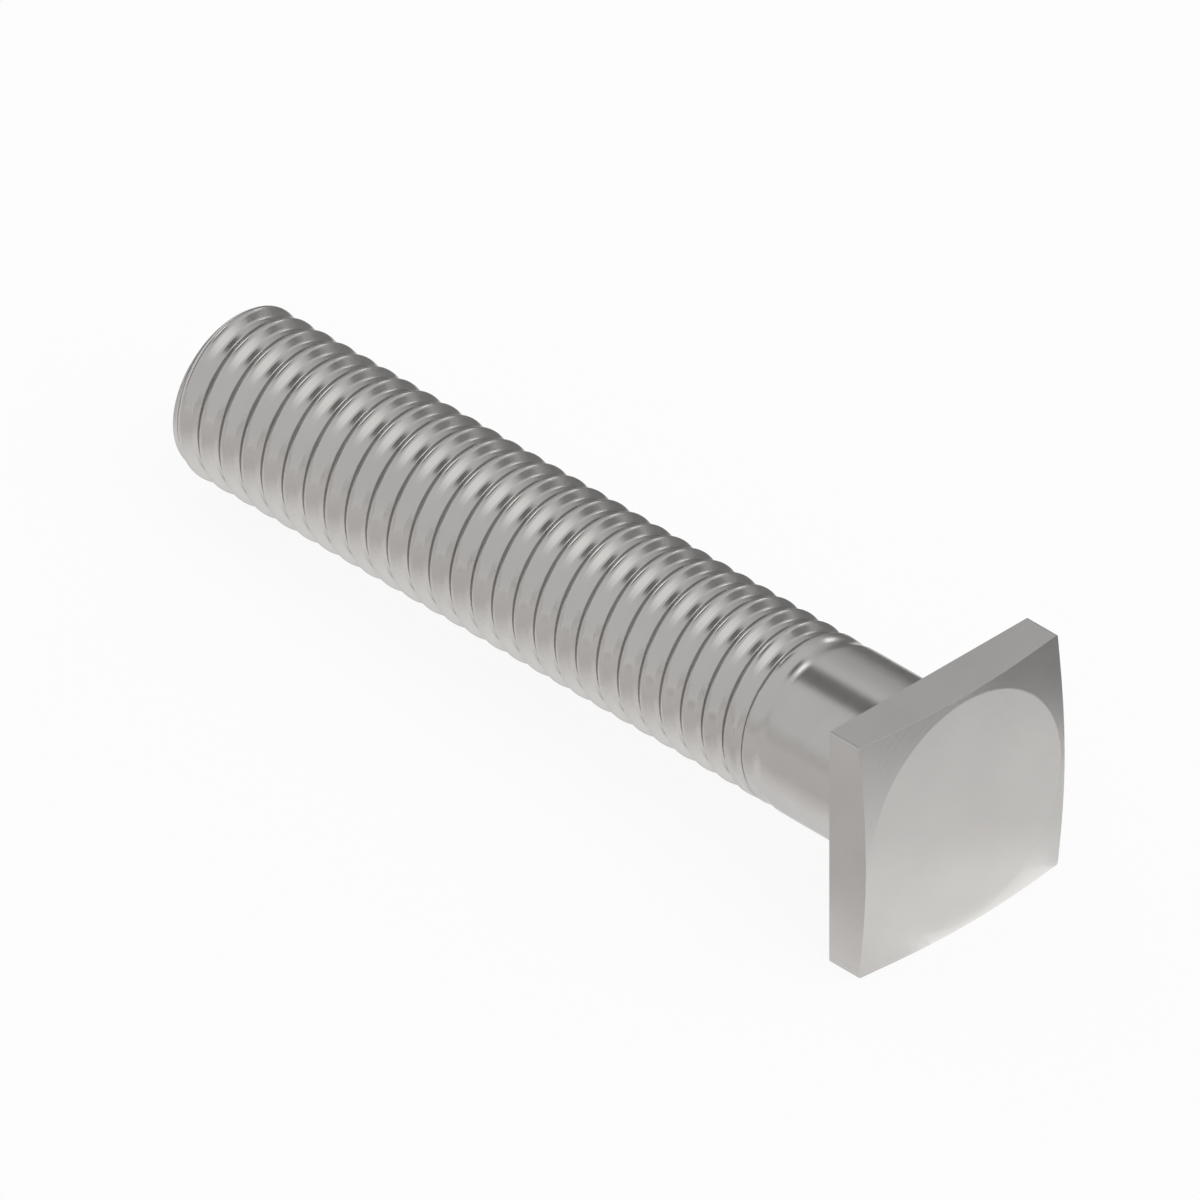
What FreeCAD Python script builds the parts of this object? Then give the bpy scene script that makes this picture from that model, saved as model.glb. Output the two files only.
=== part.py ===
# Square head bolt, size M8, one piece of stainless steel, in millimetres.
# The bolt is drawn along its own X axis. X = 0 is the face under the head that clamps the work,
# the head stands on the +X side of it and the shank runs to the tip on the -X side.
# The body's Placement then lays the bolt down as it rests on a flat surface, with +Z up.

import FreeCAD, Part
import Sketcher
import os

# Driving dimensions, each in its own cell of the sheet
DRIVING = (
    ("thread_diameter", 7.9),       # over the crests, and the plain shank's diameter too
    ("bolt_length", 41.4),          # from under the head to the tip
    ("across_flats", 11.87),        # between opposite sides of the square head
    ("head_height", 2.23),          # at the middle of the head
    ("head_face_diameter", 11.3),   # the flat round top that the chamfer leaves
    ("chamfer_angle", 9.5),         # degrees between the chamfer and the head's top
    ("neck_radius", 0.4),           # of the rounded corner between shank and head
    ("thread_length", 33.53),       # at full depth, from the tip
    ("thread_pitch", 1.25),         # the groove's advance in one turn
    ("thread_depth", 0.32),         # from crest to root
    ("crest_width", 0.1),           # the flat left between two turns of the groove
    ("runout_turns", 1.0),          # in which the groove rises out of the shank
    ("valley_width", 1.1),          # of the shallow valley turned where the thread runs out
    ("valley_depth", 0.08),         # at the valley's middle
    ("cutter_stand_off", 0.2),      # by which a cutting profile stands out of the metal
    ("flank_stand_off", 0.01),      # by which the groove's slanted sides stand out of the metal
)

# What follows from them, as formulas in the sheet. Angles are in degrees.
DERIVED = (
    ("flat_side", "across_flats / 2"),
    ("far_flat_side", "-across_flats / 2"),
    ("thread_radius", "thread_diameter / 2"),
    ("root_radius", "thread_radius - thread_depth"),
    ("mouth_radius", "thread_radius + cutter_stand_off"),
    ("flank_radius", "thread_radius + flank_stand_off"),
    ("flank_slope", "(thread_pitch - crest_width) / 2 / thread_depth"),
    ("flank_reach", "(thread_depth + flank_stand_off) * flank_slope"),
    ("groove_middle", "thread_length - bolt_length"),
    ("mouth_left", "groove_middle - flank_reach"),
    ("mouth_right", "groove_middle + flank_reach"),
    ("valley_middle", "groove_middle + runout_turns * thread_pitch"),
    ("valley_radius", "thread_radius - valley_depth"),
    ("valley_reach", "valley_width / 2 * (valley_depth + cutter_stand_off) / valley_depth"),
    ("valley_left", "valley_middle - valley_reach"),
    ("valley_right", "valley_middle + valley_reach"),
    ("groove_turns", "thread_length / thread_pitch + 1"),
    ("runout_angle", "atan((thread_depth + cutter_stand_off) / (runout_turns * thread_pitch))"),
    ("face_radius", "head_face_diameter / 2"),
    ("cutter_radius", "across_flats / sqrt(2) + cutter_stand_off"),
    ("cutter_top", "head_height + cutter_stand_off"),
    ("cone_inner", "face_radius - cutter_stand_off / tan(chamfer_angle)"),
    ("cone_low", "head_height - (cutter_radius - face_radius) * tan(chamfer_angle)"),
    ("rest_tilt", "atan((across_flats - thread_diameter) / 2 / bolt_length)"),
    ("far_left", "-bolt_length * cos(rest_tilt) - thread_radius * sin(rest_tilt)"),
    ("far_right", "head_height * cos(rest_tilt) + face_radius * sin(rest_tilt)"),
)

doc = FreeCAD.newDocument("SquareHeadBolt")


def make_sheet():
    """The sheet of sizes: names in column A, values and formulas in column B."""
    sheet = doc.addObject("Spreadsheet::Sheet", "Sizes")
    rows = [(name, str(value)) for name, value in DRIVING]
    rows += [(name, "=" + formula) for name, formula in DERIVED]
    for row, (name, content) in enumerate(rows, start=1):
        sheet.set(f"A{row}", name)
        sheet.set(f"B{row}", content)
        sheet.setAlias(f"B{row}", name)
    doc.recompute()
    return sheet


sheet = make_sheet()


def plane(body, role):
    """One of the body's own origin planes or axes."""
    return next(item for item in body.Origin.OriginFeatures if item.Role == role)


def new_sketch(body, name, role):
    """An empty sketch on one of the body's origin planes."""
    sketch = body.newObject("Sketcher::SketchObject", name)
    sketch.AttachmentSupport = [(plane(body, role), "")]
    sketch.MapMode = "FlatFace"
    return sketch


def tie(sketch, kind, places, size):
    """A dimension of the sketch that follows a cell of the sheet."""
    number = sketch.addConstraint(Sketcher.Constraint(kind, *places, float(sheet.get(size))))
    sketch.setExpression(f"Constraints[{number}]", f"{sheet.Name}.{size}")


def draw_circle(sketch, diameter):
    """A circle about the sketch's origin."""
    circle = Part.Circle(FreeCAD.Vector(0, 0, 0), FreeCAD.Vector(0, 0, 1), sheet.get(diameter) / 2)
    edge = sketch.addGeometry(circle)
    sketch.addConstraint(Sketcher.Constraint("Coincident", edge, 3, -1, 1))
    tie(sketch, "Diameter", (edge,), diameter)


def draw_outline(sketch, corners):
    """A closed outline of straight lines. Each corner is the names of its two distances."""
    spots = [FreeCAD.Vector(sheet.get(across), sheet.get(up), 0) for across, up in corners]
    for start, end in zip(spots, spots[1:] + spots[:1]):
        sketch.addGeometry(Part.LineSegment(start, end))
    for edge, (across, up) in enumerate(corners):
        following = (edge + 1) % len(corners)
        sketch.addConstraint(Sketcher.Constraint("Coincident", edge, 2, following, 1))
        tie(sketch, "DistanceX", (-1, 1, edge, 1), across)
        tie(sketch, "DistanceY", (-1, 1, edge, 1), up)


def make_head(body):
    """The square head, straight from its outline."""
    outline = new_sketch(body, "HeadOutline", "YZ_Plane")
    draw_outline(outline, (
        ("far_flat_side", "far_flat_side"),
        ("flat_side", "far_flat_side"),
        ("flat_side", "flat_side"),
        ("far_flat_side", "flat_side"),
    ))
    head = body.newObject("PartDesign::Pad", "Head")
    head.Profile = outline
    head.setExpression("Length", f"{sheet.Name}.head_height")
    doc.recompute()


def chamfer_head(body):
    """The shallow cone turned on the head's top, which takes the most off its corners."""
    outline = new_sketch(body, "ChamferOutline", "XZ_Plane")
    draw_outline(outline, (
        ("cutter_top", "cone_inner"),
        ("cone_low", "cutter_radius"),
        ("cutter_top", "cutter_radius"),
    ))
    cone = body.newObject("PartDesign::Groove", "HeadChamfer")
    cone.Profile = outline
    cone.ReferenceAxis = (plane(body, "X_Axis"), [""])
    cone.Angle = 360
    doc.recompute()


def make_shank(body):
    """The round shank, from under the head to the tip."""
    outline = new_sketch(body, "ShankOutline", "YZ_Plane")
    draw_circle(outline, "thread_diameter")
    shank = body.newObject("PartDesign::Pad", "Shank")
    shank.Profile = outline
    shank.setExpression("Length", f"{sheet.Name}.bolt_length")
    shank.Reversed = True
    doc.recompute()
    return shank


def round_neck(body, shank):
    """The rounded corner where the shank meets the head."""
    radius = sheet.get("thread_radius")
    edges = [
        f"Edge{number}"
        for number, edge in enumerate(shank.Shape.Edges, start=1)
        if isinstance(edge.Curve, Part.Circle)
        and abs(edge.Curve.Radius - radius) < Part.Precision.confusion()
        and abs(edge.Curve.Center.x) < Part.Precision.confusion()
    ]
    neck = body.newObject("PartDesign::Fillet", "Neck")
    neck.Base = (shank, edges)
    neck.setExpression("Radius", f"{sheet.Name}.neck_radius")
    doc.recompute()


def turn_valley(body):
    """The shallow valley turned round the shank, where the plain length ends and the thread runs out."""
    outline = new_sketch(body, "ValleyOutline", "XZ_Plane")
    draw_outline(outline, (
        ("valley_middle", "valley_radius"),
        ("valley_right", "mouth_radius"),
        ("valley_left", "mouth_radius"),
    ))
    valley = body.newObject("PartDesign::Groove", "Valley")
    valley.Profile = outline
    valley.ReferenceAxis = (plane(body, "X_Axis"), [""])
    valley.Angle = 360
    doc.recompute()


def cut_thread(body):
    """The right-hand thread: one groove that winds off the tip, and its run-out towards the head.

    Both start from the same profile. The run-out winds on outwards, so the groove ends in the valley
    with no step.
    """
    outline = new_sketch(body, "GrooveOutline", "XZ_Plane")
    draw_outline(outline, (
        ("groove_middle", "root_radius"),
        ("mouth_right", "flank_radius"),
        ("mouth_right", "mouth_radius"),
        ("mouth_left", "mouth_radius"),
        ("mouth_left", "flank_radius"),
    ))
    doc.recompute()
    for name, turns, angle, to_tip in (
        ("Thread", "groove_turns", None, True),
        ("ThreadRunout", "runout_turns", "runout_angle", False),
    ):
        groove = body.newObject("PartDesign::SubtractiveHelix", name)
        groove.Profile = outline
        groove.ReferenceAxis = (plane(body, "X_Axis"), [""])
        groove.Mode = "pitch-turns-angle"
        groove.setExpression("Pitch", f"{sheet.Name}.thread_pitch")
        groove.setExpression("Turns", f"{sheet.Name}.{turns}")
        if angle:
            groove.setExpression("Angle", f"{sheet.Name}.{angle}")
        groove.Reversed = to_tip
        doc.recompute()


def lay_down(body):
    """The bolt lies on one edge of its head and on the rim of its tip, over the origin."""
    body.Placement.Rotation.Axis = FreeCAD.Vector(0, -1, 0)
    body.setExpression("Placement.Rotation.Angle", f"{sheet.Name}.rest_tilt")
    body.setExpression("Placement.Base.x", f"-({sheet.Name}.far_left + {sheet.Name}.far_right) / 2")
    body.setExpression("Placement.Base.z", f"{sheet.Name}.flat_side * cos({sheet.Name}.rest_tilt)")
    doc.recompute()


def make_bolt():
    body = doc.addObject("PartDesign::Body", "SquareHeadBolt")
    body.Label = "square_head_bolt"
    make_head(body)
    chamfer_head(body)
    shank = make_shank(body)
    round_neck(body, shank)
    turn_valley(body)
    cut_thread(body)
    lay_down(body)
    return body


bolt = make_bolt()
for item in doc.Objects:
    if "Invalid" in item.State or "Error" in item.State:
        raise RuntimeError(f"{item.Name} failed: {item.State}")
if bolt.Shape.isNull() or not bolt.Shape.isValid():
    raise RuntimeError(f"{bolt.Label} has no valid shape")
os.makedirs("parts", exist_ok=True)
bolt.Shape.exportStep(f"parts/{bolt.Label}.step")
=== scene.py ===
# Square head bolt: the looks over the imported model. Metres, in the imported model's frame.
import math

import bpy
import numpy as np
from mathutils import Matrix, Vector


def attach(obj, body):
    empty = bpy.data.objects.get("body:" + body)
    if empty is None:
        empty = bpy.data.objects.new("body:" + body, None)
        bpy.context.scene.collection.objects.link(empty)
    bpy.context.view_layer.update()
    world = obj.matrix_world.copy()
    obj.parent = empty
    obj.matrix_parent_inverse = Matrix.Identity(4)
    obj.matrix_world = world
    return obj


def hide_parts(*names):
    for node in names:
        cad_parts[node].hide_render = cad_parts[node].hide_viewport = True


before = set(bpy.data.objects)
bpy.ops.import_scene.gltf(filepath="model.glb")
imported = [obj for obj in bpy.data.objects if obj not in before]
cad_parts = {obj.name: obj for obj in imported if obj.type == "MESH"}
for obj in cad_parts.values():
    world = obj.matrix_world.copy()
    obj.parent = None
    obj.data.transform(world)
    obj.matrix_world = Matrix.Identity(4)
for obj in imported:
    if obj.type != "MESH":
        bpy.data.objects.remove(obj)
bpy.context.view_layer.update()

MM = 0.001

# The bolt's sizes in millimetres, as in the part's source but for two things. The source's groove is a
# plain V, 0.32 deep. This one has a level bottom and takes out nearly as much metal. The source's valley
# is a V too, 1.1 wide and 0.08 deep. This one is round, and so a little wider and deeper.
THREAD_DIAMETER = 7.9
BOLT_LENGTH = 41.4
ACROSS_FLATS = 11.87
HEAD_HEIGHT = 2.23
HEAD_FACE_DIAMETER = 11.3
CHAMFER_ANGLE = math.radians(9.5)
NECK_RADIUS = 0.4
THREAD_LENGTH = 33.53
PITCH = 1.25
THREAD_DEPTH = 0.28
RUNOUT_RISE = 0.52          # that the groove's root climbs in the one turn of its run-out
VALLEY_WIDTH = 1.3
VALLEY_DEPTH = 0.09

# What the eye sees beyond those: the small roundings of edges, crests and roots
HEAD_EDGE = 0.02
HEAD_CORNER = 0.12
FACE_EDGE = 0.05
TIP_EDGE = 0.03
ROOT_WIDTH = 0.36           # of the groove's nearly level bottom
CREST_WIDTH = 0.18
BEND = 0.16                 # length over which bottom, slant and crest round into each other
RUNOUT_ROUNDING = 0.015     # where the run-out meets the shank
THREAD_ROUNDING = 0.003     # where the full thread's crest meets it

# The mesh
COLUMNS = 96                # round the bolt, a multiple of 8, so that the head's corners fall on columns
CORNER_REACH = 2            # columns on each side of a corner that its rounding takes
EDGE_ROWS = 5               # over each small rounding
NECK_ROWS = 6
PLAIN_ROWS = 6              # along the plain shank, 1 mm apart
TIP_RINGS = (0.3, 0.6, 0.85)    # on the flat tip, as shares of its radius
FACE_RINGS = (0.75, 0.5, 0.25)  # on the head's round top
PAST_VALLEY = 0.15          # from the valley to where the wound rows end
SLOPE_STEP = 0.002          # over which the surface's slope is taken, along in mm and round in radians
MERGE_DIGITS = 5            # points that agree to so many decimals of a millimetre are one

RADIUS = THREAD_DIAMETER / 2
HALF_FLATS = ACROSS_FLATS / 2
GROOVE_MIDDLE = THREAD_LENGTH - BOLT_LENGTH
SLANT_START = ROOT_WIDTH / 2
SLANT_END = (PITCH - CREST_WIDTH) / 2
TILT = math.atan((ACROSS_FLATS - THREAD_DIAMETER) / 2 / BOLT_LENGTH)


# The bolt's own frame: X = 0 at the face under the head, the head on +X
far_left = -BOLT_LENGTH * math.cos(TILT) - RADIUS * math.sin(TILT)
far_right = HEAD_HEIGHT * math.cos(TILT) + HEAD_FACE_DIAMETER / 2 * math.sin(TILT)
origin = Vector((-(far_left + far_right) / 2, 0, HALF_FLATS * math.cos(TILT))) * MM
lay = Matrix.Translation(origin) @ Matrix.Rotation(-TILT, 4, "Y")


def bend(way, width):
    """Level before 0 and a slope of 1 after it, rounded over that width."""
    return np.where(np.abs(way) < width / 2, (way + width / 2) ** 2 / (2 * width), np.maximum(way, 0))


def cut_depth(angle, x):
    """How deep the thread, its run-out and the valley cut below the shank's surface there."""
    phase = x - GROOVE_MIDDLE - PITCH * (angle - math.pi / 2) / math.tau
    turn = np.round(phase / PITCH)
    way = np.abs(phase - turn * PITCH)
    height = (bend(way - SLANT_START, BEND) - bend(way - SLANT_END, BEND)) / (SLANT_END - SLANT_START)
    climb = RUNOUT_RISE * np.clip(turn + (angle - math.pi / 2) / math.tau, 0, None)
    groove = THREAD_DEPTH * (1 - height) - climb
    from_middle = np.minimum(np.abs(x - GROOVE_MIDDLE - PITCH) / (VALLEY_WIDTH / 2), 1)
    valley = VALLEY_DEPTH * (1 + np.cos(math.pi * from_middle)) / 2
    deepest = np.maximum(groove, valley)
    soft = np.where(climb > 0, RUNOUT_ROUNDING, THREAD_ROUNDING)
    return (deepest + np.sqrt(deepest ** 2 + soft ** 2)) / 2


def shank_point(angle, x):
    """Place and outward normal of the shank's surface."""
    step = SLOPE_STEP
    radius = RADIUS - cut_depth(angle, x)
    along = -(cut_depth(angle, x + step) - cut_depth(angle, x - step)) / (2 * step)
    round_it = -(cut_depth(angle + step, x) - cut_depth(angle - step, x)) / (2 * step) / radius
    c, s = np.cos(angle), np.sin(angle)
    place = np.stack([x + 0 * radius, radius * c, radius * s], -1)
    normal = np.stack([-along, c + round_it * s, s - round_it * c], -1)
    return place, normal / np.linalg.norm(normal, axis=-1, keepdims=True)


angles = np.arange(COLUMNS) * math.tau / COLUMNS
circle = np.stack([0 * angles, np.cos(angles), np.sin(angles)], -1)
axis = np.array([1.0, 0.0, 0.0])


def ring(radius, x, slope):
    """A round row. slope is the normal's lean towards the head, in radians from straight out."""
    place = circle * radius + axis * x
    normal = circle * math.cos(slope) + axis * math.sin(slope)
    return place, normal


def head_outline():
    """For each column, a point on the square's rounded outline and the outward normal there."""
    place = np.zeros((COLUMNS, 3))
    normal = np.zeros((COLUMNS, 3))
    quarter = COLUMNS // 4
    for i, angle in enumerate(angles):
        side = round(angle / (math.pi / 2))
        lean = angle - side * math.pi / 2
        facing = np.array([0, math.cos(side * math.pi / 2), math.sin(side * math.pi / 2)])
        across = np.array([0, -facing[2], facing[1]])
        place[i] = HALF_FLATS * (facing + across * math.tan(lean))
        normal[i] = facing
    for corner in range(quarter // 2, COLUMNS, quarter):
        middle = (HALF_FLATS - HEAD_CORNER) * np.sign(np.round(circle[corner], 3))
        for k in range(-CORNER_REACH, CORNER_REACH + 1):
            turn = angles[corner] + k / CORNER_REACH * math.pi / 4
            out = np.array([0, math.cos(turn), math.sin(turn)])
            place[corner + k] = middle + HEAD_CORNER * out
            normal[corner + k] = out
    return place, normal


def unit(v):
    return v / np.linalg.norm(v, axis=-1, keepdims=True)


def head_rows():
    """The head from under it, over its sides and chamfer, to the middle of its round top."""
    outline, out = head_outline()
    rows = []
    for a in np.linspace(0, math.pi / 2, EDGE_ROWS):
        place = outline - out * HEAD_EDGE * (1 - math.sin(a)) + axis * HEAD_EDGE * (1 - math.cos(a))
        rows.append((place, out * math.sin(a) - axis * math.cos(a)))
    inner = outline - out * HEAD_EDGE
    reach = np.linalg.norm(inner, axis=1, keepdims=True)
    cone = unit(inner) * math.sin(CHAMFER_ANGLE) + axis * math.cos(CHAMFER_ANGLE)
    face_radius = HEAD_FACE_DIAMETER / 2
    drop = (reach - face_radius) * math.tan(CHAMFER_ANGLE)
    height = HEAD_HEIGHT - drop - HEAD_EDGE / math.cos(CHAMFER_ANGLE)
    for a in np.linspace(0, 1, EDGE_ROWS):
        normal = unit(out * math.cos(a * math.pi / 2) + cone * math.sin(a * math.pi / 2))
        rows.append((inner + axis * height + normal * HEAD_EDGE, normal))
    for a in np.linspace(1, -1, EDGE_ROWS):
        lean = CHAMFER_ANGLE * (a + 1) / 2
        radius = face_radius + FACE_EDGE * a
        drop = FACE_EDGE * math.tan(CHAMFER_ANGLE) * ((a + 1) / 2) ** 2
        rows.append(ring(radius, HEAD_HEIGHT - drop, math.pi / 2 - lean))
    for share in FACE_RINGS:
        rows.append(ring(face_radius * share, HEAD_HEIGHT, math.pi / 2))
    return rows


def build_bolt():
    """One closed mesh, row by row from the tip's middle to the middle of the head's top."""
    places, normals, faces = [], [], []
    count = 0

    def add(row):
        nonlocal count
        places.append(row[0])
        normals.append(row[1])
        start = count
        count += len(row[0])
        return start

    def join(low, high):
        for i in range(COLUMNS):
            j = (i + 1) % COLUMNS
            faces.append((low + i, high + i, high + j, low + j))

    # The tip: its middle, its flat end and the small rounding of its rim
    tip = add((np.array([[-BOLT_LENGTH, 0, 0]]), -axis[None]))
    rim_place, rim_normal = shank_point(angles, np.full(COLUMNS, -BOLT_LENGTH + TIP_EDGE))
    rim_radius = np.linalg.norm(rim_place[:, 1:], axis=1, keepdims=True)
    flat = np.tile(-axis, (COLUMNS, 1))
    last = None
    for share in TIP_RINGS:
        start = add((circle * (rim_radius - TIP_EDGE) * share - axis * BOLT_LENGTH, flat))
        if last is None:
            for i in range(COLUMNS):
                faces.append((tip, start + i, start + (i + 1) % COLUMNS))
        else:
            join(last, start)
        last = start
    for a in np.linspace(math.pi / 2, 0, EDGE_ROWS)[:-1]:
        x = -BOLT_LENGTH + TIP_EDGE * (1 - math.sin(a))
        radius = rim_radius - TIP_EDGE * (1 - math.cos(a))
        start = add((circle * radius + axis * x, unit(rim_normal * math.cos(a) - axis * math.sin(a))))
        join(last, start)
        last = start

    # The thread: rows that wind with it, held back at both ends to plain rings
    low_end = -BOLT_LENGTH + TIP_EDGE
    high_end = -(BOLT_LENGTH - THREAD_LENGTH - PITCH - VALLEY_WIDTH / 2) + PAST_VALLEY
    half = np.concatenate(
        [at + BEND * np.linspace(-0.5, 0.5, EDGE_ROWS) for at in (SLANT_START, SLANT_END)])
    steps = np.concatenate([[0], half, [PITCH / 2], PITCH - half[::-1]])
    # In every column the first row starts before the tip, and the last one ends past the valley
    turns = math.ceil((high_end - low_end) / PITCH) + 2
    lead = GROOVE_MIDDLE - PITCH / 4 - PITCH * (math.ceil((GROOVE_MIDDLE - low_end) / PITCH) + 1)
    rows = (lead + np.arange(turns)[:, None] * PITCH + steps).ravel()
    x = rows[:, None] + angles[None] * PITCH / math.tau
    x = np.clip(x, low_end, high_end)
    place, normal = shank_point(np.broadcast_to(angles, x.shape), x)
    wound = add((place.reshape(-1, 3), normal.reshape(-1, 3)))
    for r in range(len(rows) - 1):
        for i in range(COLUMNS):
            a = wound + r * COLUMNS + i
            if i < COLUMNS - 1:
                b = a + 1
            elif r + 1 + len(steps) < len(rows):
                b = wound + (r + len(steps)) * COLUMNS
            else:
                continue
            faces.append((a, a + COLUMNS, b + COLUMNS, b))
    join(last, wound)
    last = wound + (len(rows) - 1) * COLUMNS

    # The plain shank, the neck and the head
    rest = [ring(RADIUS, -(NECK_RADIUS + k), 0) for k in reversed(range(PLAIN_ROWS))]
    for a in np.linspace(0, math.pi / 2, NECK_ROWS)[1:]:
        radius = RADIUS + NECK_RADIUS * (1 - math.cos(a))
        rest.append(ring(radius, NECK_RADIUS * (math.sin(a) - 1), -a))
    rest += head_rows()
    for row in rest:
        start = add(row)
        join(last, start)
        last = start
    top = add((axis[None] * HEAD_HEIGHT, axis[None]))
    for i in range(COLUMNS):
        faces.append((last + i, top, last + (i + 1) % COLUMNS))

    return np.concatenate(places), np.concatenate(normals), faces


def make_piece(name):
    """The bolt's object, whose mesh has the points that fall together made one."""
    places, normals, faces = build_bolt()
    keys = np.round(places, MERGE_DIGITS)
    _, first, same = np.unique(keys, axis=0, return_index=True, return_inverse=True)
    same = same.reshape(-1)
    places, normals = places[first], normals[first]
    whole = []
    for face in faces:
        corners = [same[v] for v in face]
        kept = [v for k, v in enumerate(corners) if v != corners[k - 1]]
        if len(set(kept)) == len(kept) > 2:
            whole.append(kept[::-1])
    mesh = bpy.data.meshes.new(name)
    turn = np.array(lay.to_3x3())
    mesh.from_pydata((places @ turn.T * MM + np.array(origin)).tolist(), [], whole)
    mesh.polygons.foreach_set("use_smooth", [True] * len(mesh.polygons))
    mesh.normals_split_custom_set_from_vertices((normals @ turn.T).tolist())
    mesh.update()
    piece = bpy.data.objects.new(name, mesh)
    bpy.context.scene.collection.objects.link(piece)
    return piece


def math_node(tree, operation, *values):
    """A Math node whose inputs are numbers or other nodes' outputs. Returns its output."""
    node = tree.nodes.new("ShaderNodeMath")
    node.operation = operation
    for socket, value in zip(node.inputs, values):
        if isinstance(value, (int, float)):
            socket.default_value = value
        else:
            tree.links.new(value, socket)
    return node.outputs[0]


def soft_step(tree, value, start, end, amount=1.0):
    """From 0 at start to the amount at end, smoothly."""
    node = tree.nodes.new("ShaderNodeMapRange")
    node.interpolation_type = "SMOOTHSTEP"
    tree.links.new(value, node.inputs["Value"])
    for name, number in (("From Min", start), ("From Max", end), ("To Min", 0.0), ("To Max", amount)):
        node.inputs[name].default_value = number
    return node.outputs["Result"]


def steel():
    """Satin stainless steel: faint clouds of tone and sheen, and fine rings turned about the axis."""
    material = bpy.data.materials.new("satin_steel")
    material.use_nodes = True
    tree = material.node_tree
    nodes, links = tree.nodes, tree.links
    shader = nodes["Principled BSDF"]
    shader.inputs["Metallic"].default_value = 1.0
    shader.inputs["Specular Tint"].default_value = (0.7, 0.7, 0.7, 1)   # dims what grazing angles add

    def noise(vector, scale, detail):
        node = nodes.new("ShaderNodeTexNoise")
        node.inputs["Scale"].default_value = scale
        node.inputs["Detail"].default_value = detail
        links.new(vector, node.inputs["Vector"])
        return node.outputs["Fac"]

    place = nodes.new("ShaderNodeTexCoord")
    own = nodes.new("ShaderNodeMapping")
    own.vector_type = "TEXTURE"
    own.inputs["Location"].default_value = origin
    own.inputs["Rotation"].default_value = (0, -TILT, 0)
    links.new(place.outputs["Object"], own.inputs["Vector"])
    split = nodes.new("ShaderNodeSeparateXYZ")
    links.new(own.outputs[0], split.inputs[0])
    x, y, z = split.outputs
    squares = math_node(tree, "ADD", math_node(tree, "MULTIPLY", y, y), math_node(tree, "MULTIPLY", z, z))
    rings = nodes.new("ShaderNodeCombineXYZ")
    links.new(x, rings.inputs[0])
    links.new(math_node(tree, "SQRT", squares), rings.inputs[1])
    clouds = noise(own.outputs[0], scale=300, detail=4)
    marks = noise(rings.outputs[0], scale=9000, detail=2)

    tint = nodes.new("ShaderNodeValToRGB")
    tint.color_ramp.elements[0].position = 0.3
    tint.color_ramp.elements[0].color = (0.62, 0.602, 0.587, 1)
    tint.color_ramp.elements[1].position = 0.7
    tint.color_ramp.elements[1].color = (0.664, 0.645, 0.628, 1)
    links.new(clouds, tint.inputs["Fac"])
    links.new(tint.outputs["Color"], shader.inputs["Base Color"])

    # The roughness: 0.17, and up to 0.04 more by the clouds and 0.05 more by the marks
    cloud_share = math_node(tree, "MULTIPLY", clouds, 0.04)
    mark_share = math_node(tree, "MULTIPLY", marks, 0.05)
    uneven = math_node(tree, "ADD", cloud_share, mark_share)
    links.new(math_node(tree, "ADD", uneven, 0.17), shader.inputs["Roughness"])

    bump = nodes.new("ShaderNodeBump")
    bump.inputs["Distance"].default_value = 0.002 * MM
    links.new(marks, bump.inputs["Height"])
    links.new(bump.outputs["Normal"], shader.inputs["Normal"])
    return material


bolt = make_piece("square_head_bolt_steel")
bolt.data.materials.append(steel())
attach(bolt, "root")
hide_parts("square_head_bolt")


# The set: a pale floor, a soft world, lamps, and cards beside it that only the steel's reflections show
LAMP_DISTANCE = 0.7
FLOOR_SHARE = 0.9           # of plain white in what the eye sees of the floor. The rest keeps its shadow
PLAIN_LIGHT = 0.636         # the world's
LOW_LIGHT = 0.985           # from the horizon down, near the floor's tone
FLAT = (0, 0, 0)
UPRIGHT = (math.pi / 2, 0, 0)               # along the bolt
UPRIGHT_ACROSS = (math.pi / 2, 0, math.pi / 2)


def sheet(name, size, colour):
    """A flat matt rectangle about its own middle, which belongs to the set."""
    material = bpy.data.materials.new(name)
    material.use_nodes = True
    shader = material.node_tree.nodes["Principled BSDF"]
    shader.inputs["Base Color"].default_value = (*colour, 1)
    shader.inputs["Roughness"].default_value = 0.9
    shader.inputs["Specular IOR Level"].default_value = 0.0
    mesh = bpy.data.meshes.new(name)
    w, h = size[0] / 2, size[1] / 2
    mesh.from_pydata([(-w, -h, 0), (w, -h, 0), (w, h, 0), (-w, h, 0)], [], [(0, 1, 2, 3)])
    mesh.materials.append(material)
    thing = bpy.data.objects.new(name, mesh)
    bpy.context.scene.collection.objects.link(thing)
    return thing


def mix_in(tree, share, other):
    """Shows the other shader in that share of the matt one."""
    mix = tree.nodes.new("ShaderNodeMixShader")
    tree.links.new(share, mix.inputs[0])
    tree.links.new(tree.nodes["Principled BSDF"].outputs[0], mix.inputs[1])
    tree.links.new(tree.nodes.new(other).outputs[0], mix.inputs[2])
    tree.links.new(mix.outputs[0], tree.nodes["Material Output"].inputs["Surface"])


shank_middle = Vector((-BOLT_LENGTH / 2, 0, 0)) * MM


def toward(direction, distance):
    """A place that far from the shank's middle, in a direction given in the bolt's own axes."""
    return lay @ (shank_middle + Vector(direction).normalized() * distance)


def face_bolt(thing):
    away = thing.location - lay @ shank_middle
    thing.rotation_euler = away.to_track_quat("Z", "Y").to_euler()


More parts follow.
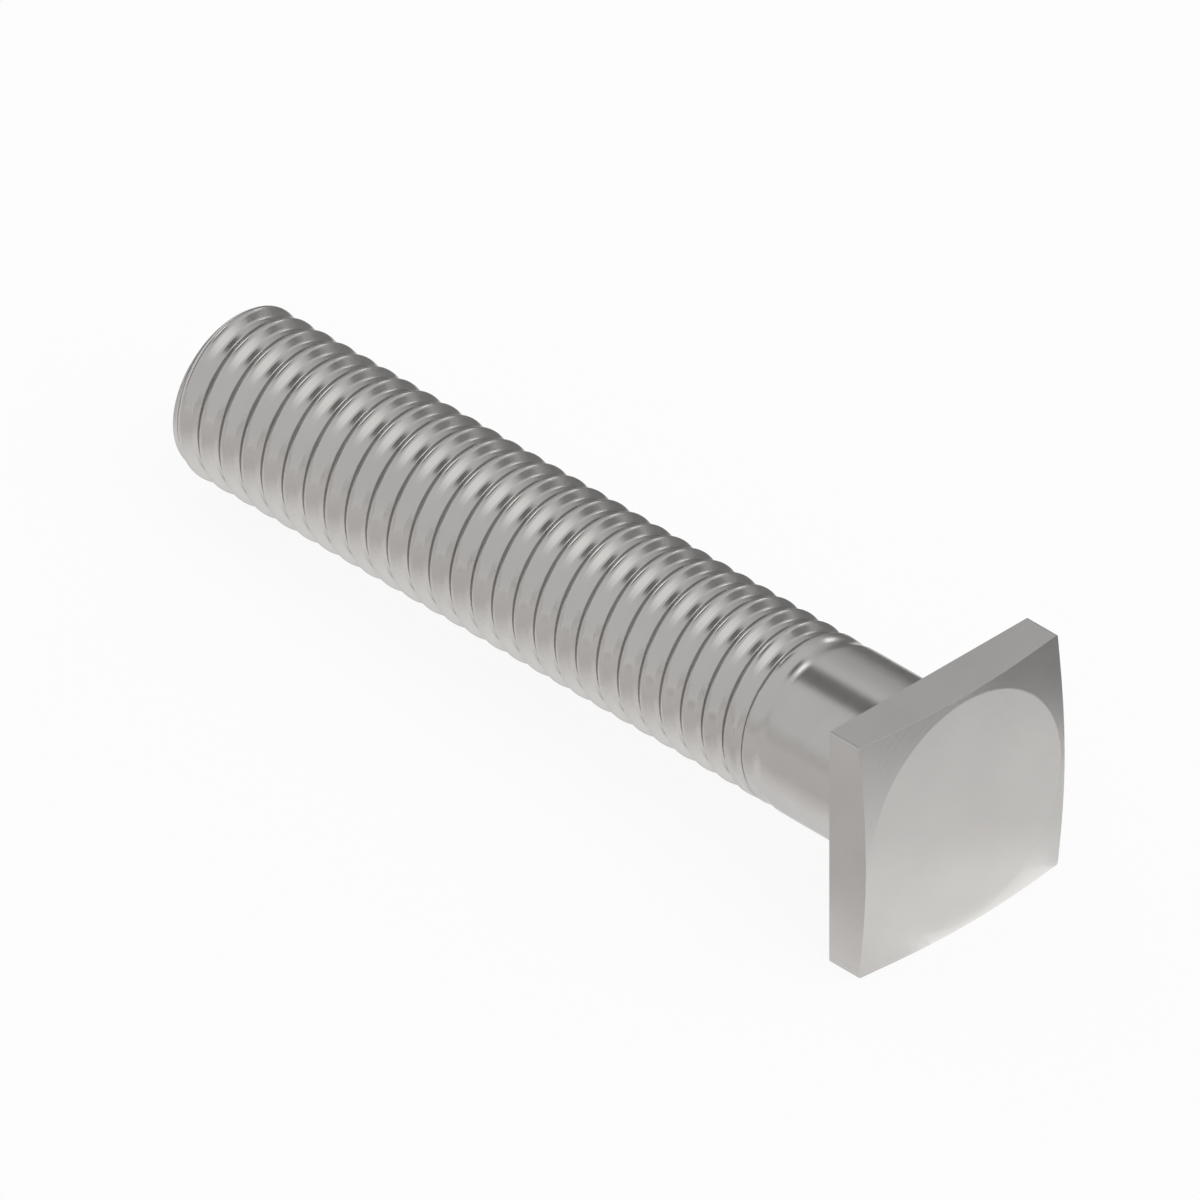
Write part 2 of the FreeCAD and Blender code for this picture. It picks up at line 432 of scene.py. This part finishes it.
def card(name, size, fade, colour, place, turn=None, shine=0.0):
    """A card that shows in reflections alone, and thins out over the fade towards its edges.

    It neither hides the bolt nor lights or shades the floor. Without a turn it faces the bolt. With shine
    it gives light of its own, which only reflections show too.
    """
    thing = sheet(name, size, colour)
    thing.visible_camera = False
    thing.visible_diffuse = False
    thing.visible_shadow = False
    thing.location = place
    if turn:
        thing.rotation_euler = turn
    else:
        face_bolt(thing)
    tree = thing.data.materials[0].node_tree
    tree.nodes["Principled BSDF"].inputs["Emission Strength"].default_value = shine
    spot = tree.nodes.new("ShaderNodeTexCoord")
    split = tree.nodes.new("ShaderNodeSeparateXYZ")
    tree.links.new(spot.outputs["Object"], split.inputs[0])
    x, y = (math_node(tree, "SUBTRACT", side / 2, math_node(tree, "ABSOLUTE", way))
            for side, way in zip(size, split.outputs))
    from_edge = math_node(tree, "MINIMUM", x, y)
    mix_in(tree, soft_step(tree, from_edge, fade, 0), "ShaderNodeBsdfTransparent")


def lamp(name, direction, size, power):
    """A lamp that faces the bolt from that direction, and that the camera doesn't see."""
    data = bpy.data.lights.new(name, "AREA")
    data.shape = "RECTANGLE"
    data.size, data.size_y = size
    data.energy = power
    thing = bpy.data.objects.new(name, data)
    bpy.context.scene.collection.objects.link(thing)
    thing.visible_camera = False
    thing.location = toward(direction, LAMP_DISTANCE)
    face_bolt(thing)
    return thing


# The floor: to the eye mostly as white as the background, under a light shadow, and white in reflections
floor = sheet("floor", (6.0, 6.0), (0.95, 0.95, 0.95))
paper = floor.data.materials[0].node_tree
path = paper.nodes.new("ShaderNodeLightPath").outputs
mirrored = math_node(paper, "ADD", path["Is Glossy Ray"], path["Is Transmission Ray"])
seen = math_node(paper, "MULTIPLY", path["Is Camera Ray"], FLOOR_SHARE)
white = math_node(paper, "MINIMUM", math_node(paper, "ADD", seen, mirrored), 1.0)
mix_in(paper, white, "ShaderNodeEmission")

# The world: plain, with a soft glow above the head's side, a dimmer back, and nearly white from the
# horizon down
world = bpy.data.worlds.new("studio")
bpy.context.scene.world = world
world.use_nodes = True
sky = world.node_tree
rays = sky.nodes.new("ShaderNodeTexCoord").outputs["Generated"]


def glow(direction, reach, amount):
    """The amount added in that direction, fading to none at the reach in degrees."""
    dot = sky.nodes.new("ShaderNodeVectorMath")
    dot.operation = "DOT_PRODUCT"
    sky.links.new(rays, dot.inputs[0])
    dot.inputs[1].default_value = Vector(direction).normalized()
    return soft_step(sky, dot.outputs["Value"], math.cos(math.radians(reach)), 1.0, amount)


split = sky.nodes.new("ShaderNodeSeparateXYZ")
sky.links.new(rays, split.inputs[0])
above_head = glow((0.567, 0.125, 0.815), reach=26, amount=0.337)
strength = math_node(sky, "ADD", above_head, PLAIN_LIGHT)
dimmer_back = glow((-0.5, 0.83, 0.25), reach=40, amount=-0.159)
strength = math_node(sky, "ADD", strength, dimmer_back)
below = soft_step(sky, split.outputs[2], 0.01, 0.0, LOW_LIGHT - PLAIN_LIGHT)
strength = math_node(sky, "ADD", strength, below)
sky.nodes["Background"].inputs["Color"].default_value = (1, 1, 1, 1)
sky.links.new(strength, sky.nodes["Background"].inputs["Strength"])


def grey(shade):
    return (shade, shade, shade)


card("dark_card_above", size=(0.15, 0.14), fade=0.035, colour=grey(0.15),
     place=toward((-0.577, 0.07, 0.815), 0.3))
card("dark_card_behind", size=(0.144, 0.042), fade=0.013, colour=grey(0.38),
     place=(-0.048, 0.0205, 0), turn=UPRIGHT)
card("dark_card_beyond", size=(0.17, 0.17), fade=0.03, colour=grey(0.28),
     place=toward((0.36, 0.77, 0.52), 0.35))
card("dark_card_past_tip", size=(0.12, 0.048), fade=0.006, colour=grey(0.1),
     place=(-0.075, 0.025, 0), turn=UPRIGHT_ACROSS)
card("pale_card_past_head", size=(0.08, 0.1), fade=0.00475, colour=grey(0.95),
     place=(0.0556, 0.0283, 0.0001), turn=(0, 0, 0.787), shine=0.1)
card("dark_card_beside_head", size=(0.074, 0.12), fade=0.0082, colour=grey(0.4),
     place=(0.0385, 0.0781, 0.0002), turn=(0, 0, 0.3112))
card("dark_card_past_head", size=(0.16, 0.3), fade=0.0663, colour=grey(0.21),
     place=(0.0949, 0.0038, 0.0003), turn=(0, 0, 0.048))
card("light_at_head_foot", size=(0.004, 0.0098), fade=0.0012, colour=grey(0.0),
     place=(0.021, 0.0016, 0.0001), turn=FLAT, shine=1.3)
card("grey_card_in_front", size=(0.3, 0.3), fade=0.011, colour=(0.735, 0.723, 0.717),
     place=(-0.03, -0.152, 0.0001), turn=FLAT)
card("grey_card_far_in_front", size=(0.5, 0.16), fade=0.06, colour=(0.655, 0.645, 0.638),
     place=toward((-0.577, -0.816, 0), 0.25))

above = lamp("soft_light_above", direction=(0.5, 0.1, 0.8), size=(0.8, 0.8), power=1.4)
above.visible_glossy = False
lamp("narrow_light_behind", direction=(-0.3, 0.86, 0.38), size=(0.12, 0.2), power=0.12)
lamp("small_light_past_tip", direction=(-0.89, 0.23, 0.4), size=(0.16, 0.3), power=0.16)

# The camera: from the head's side, above and in front, square to a corner of the bolt's own axes
PICTURE_SIDE = 1200         # pixels
PIXELS_PER_MM = 23.726
BEARING_AT = (928.63, 789.47)   # the pixel on which the middle of the face under the head falls
CAMERA_DISTANCE = 0.4
eye = (lay.to_3x3() @ Vector((1, -1, 1))).normalized()
right = (lay.to_3x3() @ Vector((1, 1, 0))).normalized()
up = eye.cross(right).normalized()
middle = PICTURE_SIDE / 2
aim = origin + (right * (middle - BEARING_AT[0]) + up * (BEARING_AT[1] - middle)) / PIXELS_PER_MM * MM
camera_data = bpy.data.cameras.new("camera")
camera_data.type = "ORTHO"
camera_data.ortho_scale = PICTURE_SIDE / PIXELS_PER_MM * MM
camera_data.clip_start, camera_data.clip_end = 0.01, 5
camera = bpy.data.objects.new("camera", camera_data)
bpy.context.scene.collection.objects.link(camera)
turned = Matrix((right, up, eye)).transposed().to_4x4()
camera.matrix_world = Matrix.Translation(aim + eye * CAMERA_DISTANCE) @ turned
bpy.context.scene.camera = camera
bpy.context.scene.view_settings.view_transform = "Standard"
